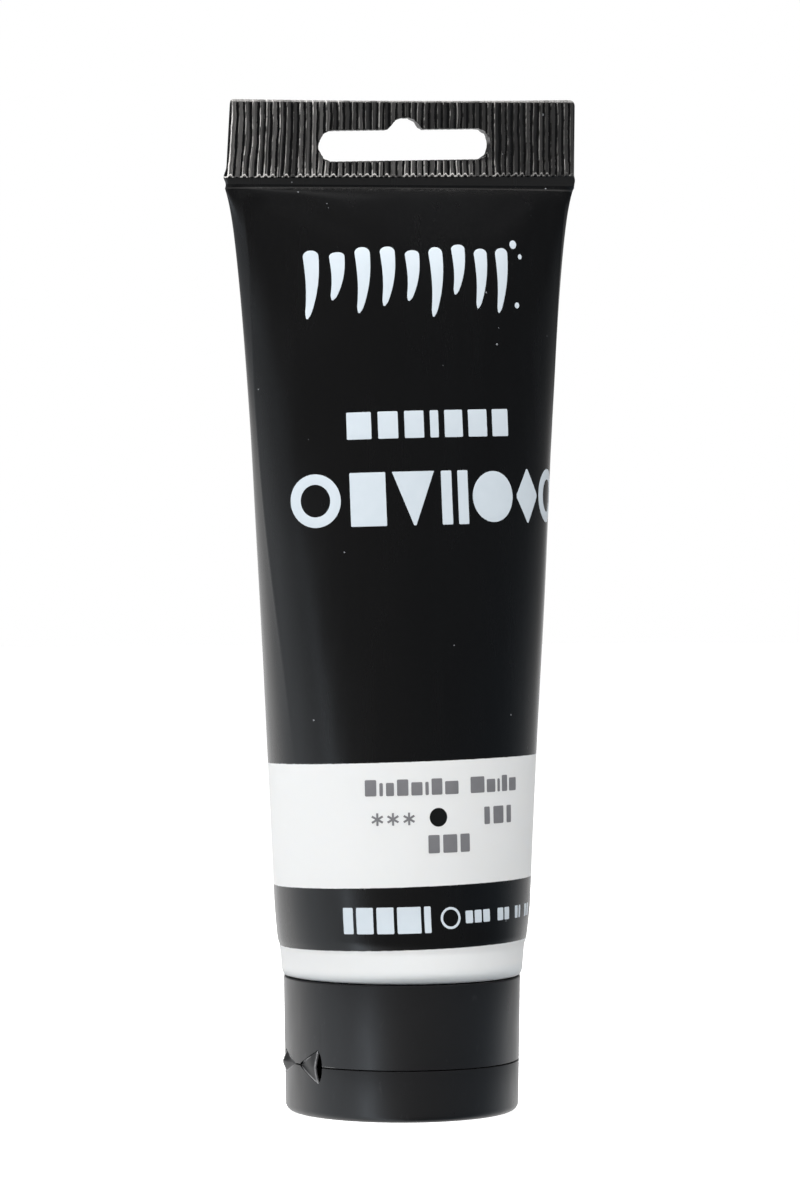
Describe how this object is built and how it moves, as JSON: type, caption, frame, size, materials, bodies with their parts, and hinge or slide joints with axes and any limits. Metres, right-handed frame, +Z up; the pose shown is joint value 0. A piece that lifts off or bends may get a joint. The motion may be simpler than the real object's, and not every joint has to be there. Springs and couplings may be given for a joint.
{
  "type": "paint tube",
  "caption": "Soft plastic squeeze tube for artists' paint, with a serrated crimped end, a hang slot and a flip-top screw cap it stands on.",
  "frame": {"origin": "centre of the flip lid's flat end face, which the tube stands on", "axes": "+Z up along the tube's axis from the cap to the crimped end, +X along the crimp, -Y towards the printed front"},
  "size_m": [0.0628, 0.04, 0.167],
  "materials": {
    "printed_sleeve": "satin",
    "white_plastic": "satin",
    "foil": "satin",
    "paint": "satin",
    "washer_foam": "matte",
    "cap_plastic": "satin"
  },
  "bodies": {
    "tube": {"tube_sleeve": "printed_sleeve", "tube_head": "white_plastic", "foil_seal": "foil", "paint_fill": "paint"},
    "liner": {"sealing_washer": "washer_foam"},
    "cap": {"cap_base": "cap_plastic", "hinge_wing_front_cap": "cap_plastic", "hinge_wing_rear_cap": "cap_plastic"},
    "lid": {"flip_lid": "cap_plastic", "hinge_wing_front_lid": "cap_plastic", "hinge_wing_rear_lid": "cap_plastic"}
  },
  "joints": [
    {"name": "cap_lift", "type": "slide", "parent": "tube", "child": "liner", "axis": [0, 0, -1], "range_m": [0, 0.0061]},
    {"name": "cap_turn", "type": "hinge", "parent": "liner", "child": "cap", "pos_m": [0, 0, 0.012], "axis": [0, 0, -1], "range_deg": [0, 720]},
    {"name": "lid_hinge", "type": "hinge", "parent": "cap", "child": "lid", "pos_m": [-0.01925, -0.00141, 0.00835], "axis": [-0.0732, 0.9973, 0], "range_deg": [0, 170]}
  ],
  "couplings": [
    {"joint": "cap_lift", "follows": "cap_turn", "m_per_rad": 0.00047746}
  ]
}
